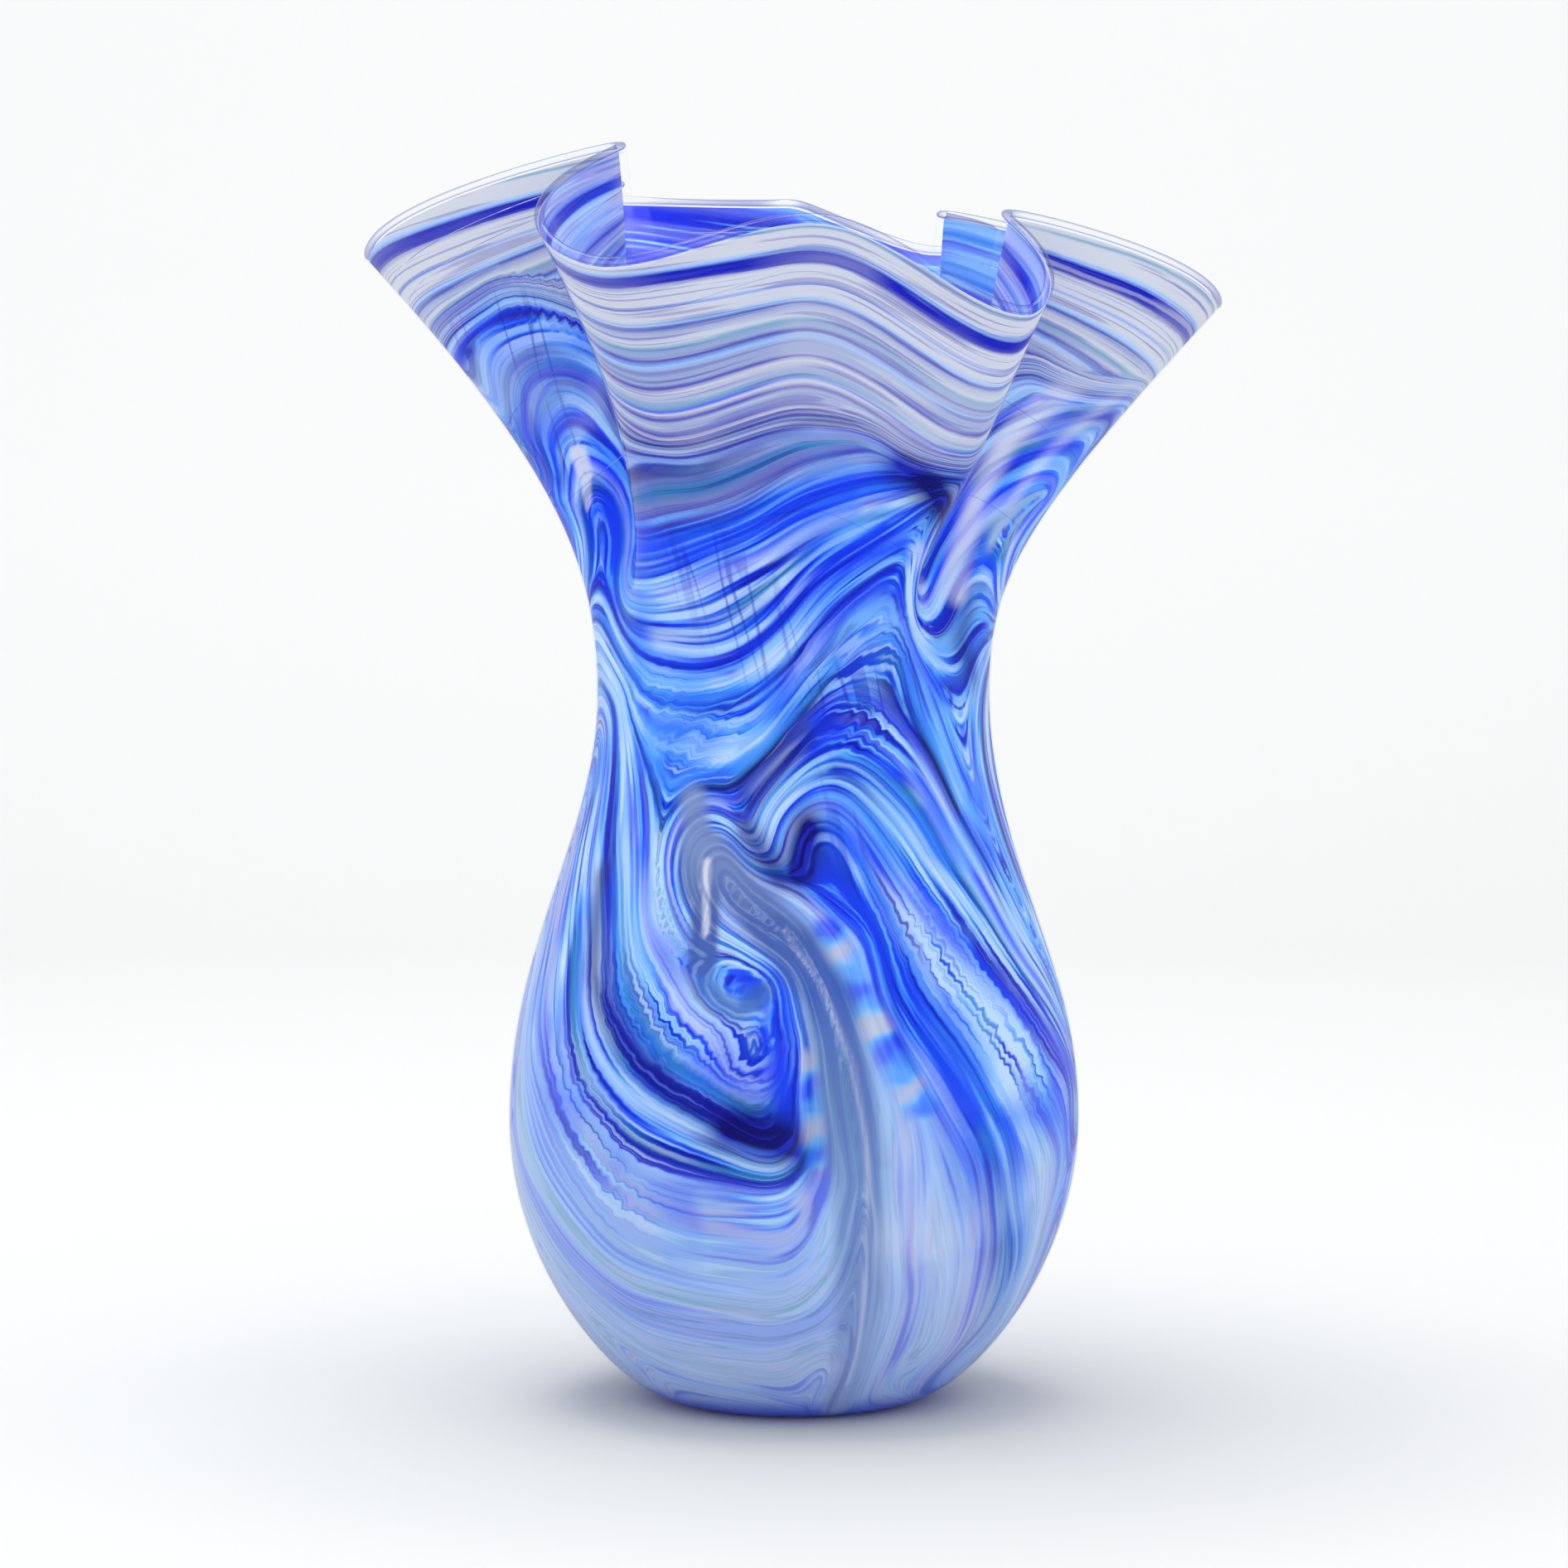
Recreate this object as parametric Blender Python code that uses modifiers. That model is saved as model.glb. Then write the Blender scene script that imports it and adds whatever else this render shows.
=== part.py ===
"""Hand blown art glass vase: a round body, a narrow waist and a mouth ruffled into six lobes.

The wall is blown glass in layers. A clear inner gather carries a raked colour overlay and the threads of
coloured glass wound round the flare; a clear outer gather cases them, a fire-polished bead closes the lip,
and a ground seal fills the pontil scar under the foot. Each layer is its own closed body.

Metres, +Z up, origin on the table at the centre of the foot. An azimuth is in degrees about +Z, 0 at the
front (-Y) and 90 at +X. A station is a place along the wall's outline, from below the foot to the lip:
0 on the axis, 1 at the foot's edge, 2 at the belly, 3 at the waist and 4 at the rim.
"""

import math

import bmesh
import bpy
from mathutils import Matrix, Vector

MM = 0.001

# Driving dimensions of the outer face.
FOOT_RADIUS = 25.0 * MM
FOOT_RING_INNER = 18.5 * MM
KICK_UP = 2.2 * MM
BELLY = Vector((62.7, 61.9)) * MM
WAIST = Vector((42.9, 154.7)) * MM

# How far the outline's curve handles reach from the foot, the belly and the waist.
FOOT_PULL = 13.5 * MM
BELLY_PULL_DOWN = 33.0 * MM
BELLY_PULL_UP = 36.7 * MM
WAIST_PULL_DOWN = 29.9 * MM
WAIST_PULL_UP = 24.0 * MM

# The rim, as (azimuth, radius mm, height mm): lobe tips and the valleys between them, by turns.
RUFFLE = (
    (-149.0, 94.0, 260.5),
    (-121.0, 46.0, 264.0),
    (-92.0, 92.0, 248.0),
    (-62.0, 43.0, 272.0),
    (-25.0, 90.0, 247.5),
    (2.5, 72.0, 256.5),
    (37.0, 80.5, 237.5),
    (55.5, 56.0, 257.5),
    (94.0, 92.0, 237.5),
    (124.0, 41.0, 257.5),
    (158.0, 88.0, 249.0),
    (182.0, 48.0, 260.0),
)
LOBE_FULLNESS = 1.75
LIP_RISE = 0.95

# The flare's lean and handle length at the rim, as (rim radius mm, lean degrees, handle mm).
FLARE = ((40.0, 5.0, 35.0), (60.0, 17.0, 46.0), (93.0, 43.5, 65.0))

# Tool marks pressed into the hot wall, as (azimuth, height, depth, half width, half height), the last four mm.
DENTS = (
    (-64.0, 198.0, 4.5, 9.0, 16.0),
    (48.0, 183.0, 8.5, 10.0, 17.0),
    (122.0, 188.0, 6.0, 10.0, 17.0),
    (182.0, 186.0, 5.0, 10.0, 17.0),
    (-120.0, 192.0, 6.0, 10.0, 17.0),
    (-22.0, 114.0, 7.5, 9.0, 18.0),
    (100.0, 110.0, 7.0, 10.0, 18.0),
    (-140.0, 112.0, 7.0, 10.0, 18.0),
    (2.0, 62.0, 6.5, 16.0, 18.0),
    (125.0, 60.0, 6.0, 16.0, 18.0),
    (-112.0, 62.0, 6.0, 16.0, 18.0),
)

# Thickness of the layers in the body; the clear gathers thin to a share of it at the rim.
CASING_WALL = 1.6 * MM
COLOUR_WALL = 0.4 * MM
GATHER_WALL = 1.6 * MM
GATHER_FLOOR = 9.0 * MM
RIM_SHARE = 0.45
LAYER_GAP = 0.3 * MM

# Stations where one layer ends and the next begins.
SEAL_HOLE = 0.36
OVERLAY_TOP = 3.5
VIOLET_TOP = 3.7
OPAL_TOP = 3.93
COBALT_TOP = 3.96
RIM = 4.0
WRAP_GAP = 0.004

# Rows and columns of facets. Columns crowd towards the valleys, where the wall turns most sharply.
ROWS = (0.0, SEAL_HOLE, 0.74, 1.0, 1.25, 1.5, 1.75, 2.0, 2.25, 2.5, 2.75, 3.0,
        3.12, 3.25, 3.38, OVERLAY_TOP, 3.6, VIOLET_TOP, 3.79, 3.87, OPAL_TOP, COBALT_TOP, RIM)
COLUMN_SHARES = (0.0, 0.25, 0.48, 0.69, 0.87)
FINE_STEP = 0.001

# The lip bead's section and the ground disc in the pontil scar.
BEAD_HALF_WIDTH = 1.3 * MM
BEAD_HALF_HEIGHT = 0.8 * MM
SEAL_RADIUS = 8.6 * MM
SEAL_THICKNESS = 1.1 * MM
SEAL_HEIGHT = 1.5 * MM


def mix(low, high, share):
    return low + (high - low) * share


def ease(share):
    return (1.0 - math.cos(math.pi * share)) / 2.0


def bezier(start, start_handle, end_handle, end, share):
    """A point of a cubic curve."""
    left = 1.0 - share
    return (start * left ** 3 + start_handle * (3.0 * left * left * share)
            + end_handle * (3.0 * left * share * share) + end * share ** 3)


def half_lobes():
    """Each stretch of the rim between a tip and a valley, as (first point, second point, first is a tip)."""
    for index, first in enumerate(RUFFLE):
        second = RUFFLE[(index + 1) % len(RUFFLE)]
        yield first, second, index % 2 == 0


def rim_point(azimuth):
    """The rim's radius and height at an azimuth, full at a lobe's tip and drawn in at a valley."""
    for first, second, first_is_tip in half_lobes():
        span = (second[0] - first[0]) % 360.0
        along = (azimuth - first[0]) % 360.0
        if along <= span:
            break
    share = along / span
    tip, valley = (first, second) if first_is_tip else (second, first)
    if not first_is_tip:
        share = 1.0 - share
    radius = mix(tip[1], valley[1], ease(share) ** LOBE_FULLNESS)
    height = mix(tip[2], valley[2], ease(share ** LIP_RISE))
    return Vector((radius, height)) * MM


def rim_handle(rim):
    """The curve handle below a rim point: the wider the rim there, the more its wall leans out."""
    radius = rim.x / MM
    low, high = (FLARE[0], FLARE[1]) if radius < FLARE[1][0] else (FLARE[1], FLARE[2])
    share = (radius - low[0]) / (high[0] - low[0])
    lean = math.radians(mix(low[1], high[1], share))
    reach = mix(low[2], high[2], share) * MM
    return rim - Vector((math.sin(lean), math.cos(lean))) * reach


def outline(azimuth, station):
    """Radius and height of the outer face, before the dents."""
    if station <= 1.0:
        radius = FOOT_RADIUS * station
        share = min(radius / FOOT_RING_INNER, 1.0)
        return Vector((radius, KICK_UP * (1.0 - share * share) ** 2))
    if station <= 2.0:
        foot = Vector((FOOT_RADIUS, 0.0))
        return bezier(foot, foot + Vector((FOOT_PULL, 0.0)),
                      BELLY - Vector((0.0, BELLY_PULL_DOWN)), BELLY, station - 1.0)
    if station <= 3.0:
        return bezier(BELLY, BELLY + Vector((0.0, BELLY_PULL_UP)),
                      WAIST - Vector((0.0, WAIST_PULL_DOWN)), WAIST, station - 2.0)
    rim = rim_point(azimuth)
    return bezier(WAIST, WAIST + Vector((0.0, WAIST_PULL_UP)), rim_handle(rim), rim, station - 3.0)


def dent_depth(azimuth, radius, height):
    """How far the tool marks press the wall in."""
    total = 0.0
    for dent_azimuth, dent_height, depth, half_width, half_height in DENTS:
        turn = math.radians((azimuth - dent_azimuth + 180.0) % 360.0 - 180.0)
        across = turn * radius / (half_width * MM)
        up = (height - dent_height * MM) / (half_height * MM)
        total += depth * MM * math.exp(-across ** 2 - up ** 2)
    return total


def wall_point(azimuth, station):
    """A point of the wall's outer face."""
    radius, height = outline(azimuth, station)
    if station > 1.0:
        radius -= dent_depth(azimuth, radius, height)
    angle = math.radians(azimuth)
    return Vector((radius * math.sin(angle), -radius * math.cos(angle), height))


def rim_frame(azimuth):
    """The rim's point, the direction into the wall there and the direction up the wall."""
    point = wall_point(azimuth, RIM)
    up = (point - wall_point(azimuth, RIM - FINE_STEP)).normalized()
    along = (wall_point(azimuth + FINE_STEP, RIM) - wall_point(azimuth - FINE_STEP, RIM)).normalized()
    return point, up.cross(along).normalized(), up


def column_azimuths():
    """The azimuths of the columns, from the first lobe's tip round the vase."""
    azimuths = []
    for first, second, first_is_tip in half_lobes():
        span = (second[0] - first[0]) % 360.0
        shares = COLUMN_SHARES if first_is_tip else [0.0] + [1.0 - s for s in reversed(COLUMN_SHARES[1:])]
        azimuths += [first[0] + span * share for share in shares]
    return azimuths


AZIMUTHS = column_azimuths()
COLUMNS = len(AZIMUTHS)


def wall_share(station):
    """How thick a clear gather is at a station, as a share of its thickness in the body."""
    return 1.0 if station < 3.0 else mix(1.0, RIM_SHARE, min(station - 3.0, 1.0))


def casing_wall(station):
    return CASING_WALL * wall_share(station)


def colour_depth(station):
    return casing_wall(station) + LAYER_GAP


def colour_wall(_station):
    return COLOUR_WALL


def gather_depth(station):
    return colour_depth(station) + COLOUR_WALL + LAYER_GAP


def gather_wall(station):
    """The inner gather: a thick floor that thins into the wall above the foot."""
    floor_share = 1.0 - ease(min(max((station - 0.3) / 1.3, 0.0), 1.0))
    return mix(GATHER_WALL * wall_share(station), GATHER_FLOOR, floor_share)


def glass(name, colour, alpha=1.0):
    """A glossy glass material; alpha below 1 lets the layers behind it show."""
    material = bpy.data.materials.new(name)
    material.use_nodes = True
    shader = material.node_tree.nodes["Principled BSDF"]
    shader.inputs["Base Color"].default_value = (*colour, 1.0)
    shader.inputs["Roughness"].default_value = 0.04
    shader.inputs["Metallic"].default_value = 0.0
    shader.inputs["IOR"].default_value = 1.5
    shader.inputs["Alpha"].default_value = alpha
    return material


def add_object(name, mesh, material, collection):
    """Put a mesh in the scene as a named piece with its material."""
    mesh.materials.clear()
    mesh.materials.append(material)
    piece = bpy.data.objects.new(name, mesh)
    collection.objects.link(piece)
    return piece


def turned_blank(stations):
    """A straight tube of glass, a row of facets for each station and a column for each azimuth."""
    rows = sorted(stations, reverse=True)
    profile = bpy.data.meshes.new("blank")
    profile.from_pydata([(1.0, 0.0, row) for row in rows], [(i, i + 1) for i in range(len(rows) - 1)], [])
    blank = bpy.data.objects.new("blank", profile)
    bpy.context.scene.collection.objects.link(blank)
    screw = blank.modifiers.new("Turn", "SCREW")
    screw.steps = COLUMNS
    screw.render_steps = COLUMNS
    screw.use_merge_vertices = True
    screw.merge_threshold = 0.0001
    evaluated = blank.evaluated_get(bpy.context.evaluated_depsgraph_get())
    mesh = bpy.data.meshes.new_from_object(evaluated)
    bpy.data.objects.remove(blank)
    bpy.data.meshes.remove(profile)
    return mesh


def weigh(piece, group_name, amount, rows):
    """Store an amount that varies with the station as a vertex group, and return its peak."""
    peak = max(amount(row) for row in rows)
    group = piece.vertex_groups.new(name=group_name)
    stations = piece.data.attributes["station"].data
    for index, item in enumerate(stations):
        group.add([index], amount(item.value) / peak, "REPLACE")
    return peak


def blown_layer(name, stations, depth, thickness, material, collection):
    """One layer of the wall: a blank blown onto the wall's shape, set in by depth and given a thickness."""
    mesh = turned_blank(stations)
    mesh.name = name
    shape = bmesh.new()
    shape.from_mesh(mesh)
    bmesh.ops.triangulate(shape, faces=shape.faces, quad_method="FIXED")
    station = shape.verts.layers.float.new("station")
    for vertex in shape.verts:
        turn = math.atan2(vertex.co.y, vertex.co.x) / math.tau
        column = round(turn * COLUMNS) % COLUMNS
        vertex[station] = vertex.co.z
        vertex.co = wall_point(AZIMUTHS[column], vertex.co.z)
    bmesh.ops.remove_doubles(shape, verts=shape.verts, dist=0.001 * MM)
    shape.to_mesh(mesh)
    shape.free()
    mesh.shade_smooth()
    layer = add_object(name, mesh, material, collection)
    if depth is not None:
        set_in = layer.modifiers.new("Set in", "DISPLACE")
        set_in.direction = "NORMAL"
        set_in.mid_level = 0.0
        set_in.strength = -weigh(layer, "depth", depth, stations)
        set_in.vertex_group = "depth"
    wall = layer.modifiers.new("Wall", "SOLIDIFY")
    wall.offset = -1.0
    wall.thickness = weigh(layer, "thickness", thickness, stations)
    wall.vertex_group = "thickness"
    return layer


def rows_between(low, high, low_gap=0.0, high_gap=0.0):
    """The wall's rows from one station to another, its ends drawn back by the gaps."""
    inner = [row for row in ROWS if low < row < high]
    return [low + low_gap] + inner + [high - high_gap]


def lip_bead(collection):
    """The fire-polished lip, a ring of oval section that follows the ruffled rim just above the layers."""
    bpy.ops.mesh.primitive_torus_add(major_segments=COLUMNS, minor_segments=8, major_radius=1.0, minor_radius=0.1)
    bead = bpy.context.object
    bead.name = "lip_bead"
    middle = (casing_wall(RIM) + COLOUR_WALL + gather_wall(RIM) + 2.0 * LAYER_GAP) / 2.0
    for vertex in bead.data.vertices:
        turn = math.atan2(vertex.co.y, vertex.co.x) / math.tau
        outward = (vertex.co.xy.length - 1.0) / 0.1
        upward = vertex.co.z / 0.1
        point, inward, up = rim_frame(AZIMUTHS[round(turn * COLUMNS) % COLUMNS])
        vertex.co = (point + inward * (middle - outward * BEAD_HALF_WIDTH)
                     + up * (LAYER_GAP + (1.0 + upward) * BEAD_HALF_HEIGHT))
    bead.data.shade_smooth()
    bead.data.materials.append(glass("clear lip", (0.90, 0.93, 0.97), 0.3))
    for owner in list(bead.users_collection):
        owner.objects.unlink(bead)
    collection.objects.link(bead)


def pontil_seal(collection):
    """The ground and polished disc of glass where the vase was broken off the punty rod."""
    shape = bmesh.new()
    bmesh.ops.create_cone(shape, cap_ends=True, segments=48, radius1=SEAL_RADIUS, radius2=SEAL_RADIUS,
                          depth=SEAL_THICKNESS, matrix=Matrix.Translation((0.0, 0.0, SEAL_THICKNESS / 2.0)))
    mesh = bpy.data.meshes.new("pontil_seal")
    shape.to_mesh(mesh)
    shape.free()
    mesh.shade_smooth()
    mesh.set_sharp_from_angle(angle=math.radians(40.0))
    seal = add_object("pontil_seal", mesh, glass("ground clear", (0.86, 0.90, 0.95), 0.5), collection)
    seal.location.z = SEAL_HEIGHT
    edge = seal.modifiers.new("Ground edge", "BEVEL")
    edge.width = 0.25 * MM
    edge.segments = 2


def main():
    for old in list(bpy.data.objects):
        bpy.data.objects.remove(old)
    vase = bpy.data.collections.new("art_glass_vase")
    bpy.context.scene.collection.children.link(vase)
    half_gap = WRAP_GAP / 2.0

    blown_layer("outer_casing", rows_between(SEAL_HOLE, RIM), None, casing_wall,
                glass("clear casing", (0.90, 0.93, 0.97), 0.3), vase)
    blown_layer("raked_overlay", rows_between(0.0, OVERLAY_TOP, 0.0, half_gap), colour_depth, colour_wall,
                glass("raked colours", (0.30, 0.34, 0.72)), vase)
    blown_layer("violet_thread_wrap", rows_between(OVERLAY_TOP, VIOLET_TOP, half_gap, half_gap),
                colour_depth, colour_wall, glass("violet threads", (0.50, 0.49, 0.80)), vase)
    blown_layer("opal_thread_wrap", rows_between(VIOLET_TOP, OPAL_TOP, half_gap, half_gap),
                colour_depth, colour_wall, glass("opal threads", (0.72, 0.72, 0.84)), vase)
    blown_layer("cobalt_lip_thread", rows_between(OPAL_TOP, COBALT_TOP, half_gap, half_gap),
                colour_depth, colour_wall, glass("cobalt thread", (0.09, 0.11, 0.60)), vase)
    blown_layer("opal_lip_wrap", rows_between(COBALT_TOP, RIM, half_gap, 0.0),
                colour_depth, colour_wall, glass("opal lip", (0.78, 0.78, 0.86)), vase)
    blown_layer("inner_gather", rows_between(0.0, RIM), gather_depth, gather_wall,
                glass("clear gather", (0.88, 0.92, 0.97), 0.3), vase)
    lip_bead(vase)
    pontil_seal(vase)


main()
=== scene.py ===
"""The looks of a hand blown art glass vase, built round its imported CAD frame.

The wall follows the same outline as the frame: foot, belly, waist and a mouth ruffled into six lobes. The
colour layer carries a flow field, the number of the glass thread that passes through each point, and its
material draws streaks and threads along that flow.

Lengths in the tables are millimetres. An azimuth is in degrees about +Z, 0 at the front (-Y) and 90 at +X.
A station is a place along the outline: 0 on the axis below, 1 foot edge, 2 belly, 3 waist, 4 rim.
"""

import math

import bmesh
import bpy
import numpy as np
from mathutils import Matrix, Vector


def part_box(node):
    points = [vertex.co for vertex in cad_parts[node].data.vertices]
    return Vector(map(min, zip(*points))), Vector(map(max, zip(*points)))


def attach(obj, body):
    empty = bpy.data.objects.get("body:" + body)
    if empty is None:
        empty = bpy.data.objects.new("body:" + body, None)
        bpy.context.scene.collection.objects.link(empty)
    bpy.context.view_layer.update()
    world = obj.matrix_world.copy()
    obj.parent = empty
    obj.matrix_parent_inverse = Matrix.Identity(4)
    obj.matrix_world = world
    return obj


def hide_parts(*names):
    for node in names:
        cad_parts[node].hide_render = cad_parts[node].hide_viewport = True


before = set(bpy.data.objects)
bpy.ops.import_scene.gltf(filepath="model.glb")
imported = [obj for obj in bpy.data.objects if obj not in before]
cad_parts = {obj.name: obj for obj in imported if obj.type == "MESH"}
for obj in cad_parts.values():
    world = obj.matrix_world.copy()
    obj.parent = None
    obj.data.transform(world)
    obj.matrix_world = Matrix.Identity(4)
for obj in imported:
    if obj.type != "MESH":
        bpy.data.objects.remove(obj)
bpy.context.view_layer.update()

# ---- the wall ----

DESIGN_TOP = 272.0
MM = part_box("outer_casing")[1].z / DESIGN_TOP

FOOT_RADIUS = 25.0
FOOT_RING_INNER = 18.5
KICK_UP = 2.2
BELLY = (62.7, 61.9)
WAIST = (42.9, 154.7)
FOOT_PULL = 13.5
BELLY_PULL_DOWN = 33.0
BELLY_PULL_UP = 36.7
WAIST_PULL_DOWN = 29.9
WAIST_PULL_UP = 24.0

# azimuth, radius, height of the rim's lobe tips and valleys, by turns
RUFFLE = np.array((
    (-149.0, 94.0, 260.5), (-121.0, 46.0, 264.0), (-92.0, 92.0, 248.0), (-62.0, 43.0, 272.0),
    (-25.0, 90.0, 247.5), (2.5, 72.0, 256.5), (37.0, 80.5, 237.5), (55.5, 56.0, 257.5),
    (94.0, 92.0, 237.5), (124.0, 41.0, 257.5), (158.0, 88.0, 249.0), (182.0, 48.0, 260.0),
))
LOBE_FULLNESS = 1.75
LIP_RISE = 0.95
# rim radius, lean in degrees, handle length
FLARE = np.array(((40.0, 5.0, 35.0), (60.0, 17.0, 46.0), (93.0, 43.5, 65.0)))

# azimuth, height, depth, half width, half height of the tool marks
DENTS = (
    (-64.0, 198.0, 4.5, 9.0, 16.0), (48.0, 183.0, 8.5, 10.0, 17.0), (122.0, 188.0, 6.0, 10.0, 17.0),
    (182.0, 186.0, 5.0, 10.0, 17.0), (-120.0, 192.0, 6.0, 10.0, 17.0), (-22.0, 114.0, 7.5, 9.0, 18.0),
    (100.0, 110.0, 7.0, 10.0, 18.0), (-140.0, 112.0, 7.0, 10.0, 18.0), (2.0, 62.0, 6.5, 16.0, 18.0),
    (125.0, 60.0, 6.0, 16.0, 18.0), (-112.0, 62.0, 6.0, 16.0, 18.0),
)

CASING_WALL = 1.6
COLOUR_WALL = 0.4
GATHER_WALL = 1.6
GATHER_FLOOR = 9.0
RIM_SHARE = 0.45
LAYER_GAP = 0.3
SEAL_HOLE = 0.36
OVERLAY_TOP, VIOLET_TOP, OPAL_TOP, COBALT_TOP, RIM = 3.5, 3.7, 3.93, 3.96, 4.0


def mix(low, high, share):
    return low + (high - low) * share


def ease(share):
    return (1.0 - np.cos(np.pi * np.clip(share, 0.0, 1.0))) / 2.0


def smooth_step(low, high, value):
    share = np.clip((value - low) / (high - low), 0.0, 1.0)
    return share * share * (3.0 - 2.0 * share)


def turn_between(azimuth, centre):
    """The angle from centre to azimuth, from -180 to 180."""
    return (azimuth - centre + 180.0) % 360.0 - 180.0


def rim_point(azimuth):
    """Radius and height of the rim."""
    start = RUFFLE[0, 0]
    along = (azimuth - start) % 360.0
    knots = np.append(RUFFLE[:, 0] - start, 360.0)
    index = np.clip(np.searchsorted(knots, along, side="right") - 1, 0, len(RUFFLE) - 1)
    share = (along - knots[index]) / (knots[index + 1] - knots[index])
    odd = index % 2 == 1
    following = (index + 1) % len(RUFFLE)
    tip = RUFFLE[np.where(odd, following, index)]
    valley = RUFFLE[np.where(odd, index, following)]
    share = np.where(odd, 1.0 - share, share)
    radius = mix(tip[..., 1], valley[..., 1], ease(share) ** LOBE_FULLNESS)
    height = mix(tip[..., 2], valley[..., 2], ease(share ** LIP_RISE))
    return radius, height


def bezier(points, share):
    left = 1.0 - share
    weights = (left ** 3, 3.0 * left * left * share, 3.0 * left * share * share, share ** 3)
    return (sum(w * p[0] for w, p in zip(weights, points)), sum(w * p[1] for w, p in zip(weights, points)))


def outline(azimuth, station):
    """Radius and height of the outer face, before the dents."""
    rim_radius, rim_height = rim_point(azimuth)
    lean = np.radians(np.interp(rim_radius, FLARE[:, 0], FLARE[:, 1]))
    reach = np.interp(rim_radius, FLARE[:, 0], FLARE[:, 2])
    rim_handle = (rim_radius - reach * np.sin(lean), rim_height - reach * np.cos(lean))
    foot = (FOOT_RADIUS, 0.0)
    pieces = (
        (foot, (FOOT_RADIUS + FOOT_PULL, 0.0), (BELLY[0], BELLY[1] - BELLY_PULL_DOWN), BELLY),
        (BELLY, (BELLY[0], BELLY[1] + BELLY_PULL_UP), (WAIST[0], WAIST[1] - WAIST_PULL_DOWN), WAIST),
        (WAIST, (WAIST[0], WAIST[1] + WAIST_PULL_UP), rim_handle, (rim_radius, rim_height)),
    )
    radius = FOOT_RADIUS * np.minimum(station, 1.0)
    height = KICK_UP * (1.0 - np.minimum(radius / FOOT_RING_INNER, 1.0) ** 2) ** 2
    for start, points in enumerate(pieces, 1):
        part_radius, part_height = bezier(points, np.clip(station - start, 0.0, 1.0))
        inside = station > start
        radius = np.where(inside, part_radius, radius)
        height = np.where(inside, part_height, height)
    return radius, height


def wall_point(azimuth, station):
    """Points of the outer face, in mm."""
    radius, height = outline(azimuth, station)
    for dent_azimuth, dent_height, depth, half_width, half_height in DENTS:
        across = np.radians(turn_between(azimuth, dent_azimuth)) * radius / half_width
        up = (height - dent_height) / half_height
        radius = radius - np.where(station > 1.0, depth * np.exp(-across ** 2 - up ** 2), 0.0)
    angle = np.radians(azimuth)
    return np.stack((radius * np.sin(angle), -radius * np.cos(angle), height), -1)


def unit(vectors):
    return vectors / np.maximum(np.linalg.norm(vectors, axis=-1, keepdims=True), 1e-12)


FINE_STEP = 0.002


def wall_frame(azimuth, station):
    """Points of the outer face, with the directions into the wall and up it."""
    along = wall_point(azimuth + FINE_STEP, station) - wall_point(azimuth - FINE_STEP, station)
    low = np.clip(station - FINE_STEP, 0.0, RIM)
    high = np.clip(station + FINE_STEP, 0.0, RIM)
    up = unit(wall_point(azimuth, high) - wall_point(azimuth, low))
    inward = unit(np.cross(up, along))
    inward = np.where((station < FINE_STEP)[..., None], np.array((0.0, 0.0, 1.0)), inward)
    return wall_point(azimuth, station), inward, up


def wall_thickness(station):
    """The whole wall of the frame: casing, colour and gather with the gaps between them."""
    share = mix(1.0, RIM_SHARE, np.clip(station - 3.0, 0.0, 1.0))
    gather = mix(GATHER_WALL * share, GATHER_FLOOR, 1.0 - ease((station - 0.3) / 1.3))
    return CASING_WALL * share + COLOUR_WALL + gather + 2.0 * LAYER_GAP


# Depths of the faces of the looks' layers. They bring the colour close under the surface, where the casing's
# lens would show it, and the gather fills the rest of the wall.
SKIN_BACK = 0.25
COLOUR_FRONT = 0.30
COLOUR_BACK = 0.60
GATHER_FRONT = 0.65


# ---- the flow of the threads ----

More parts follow.
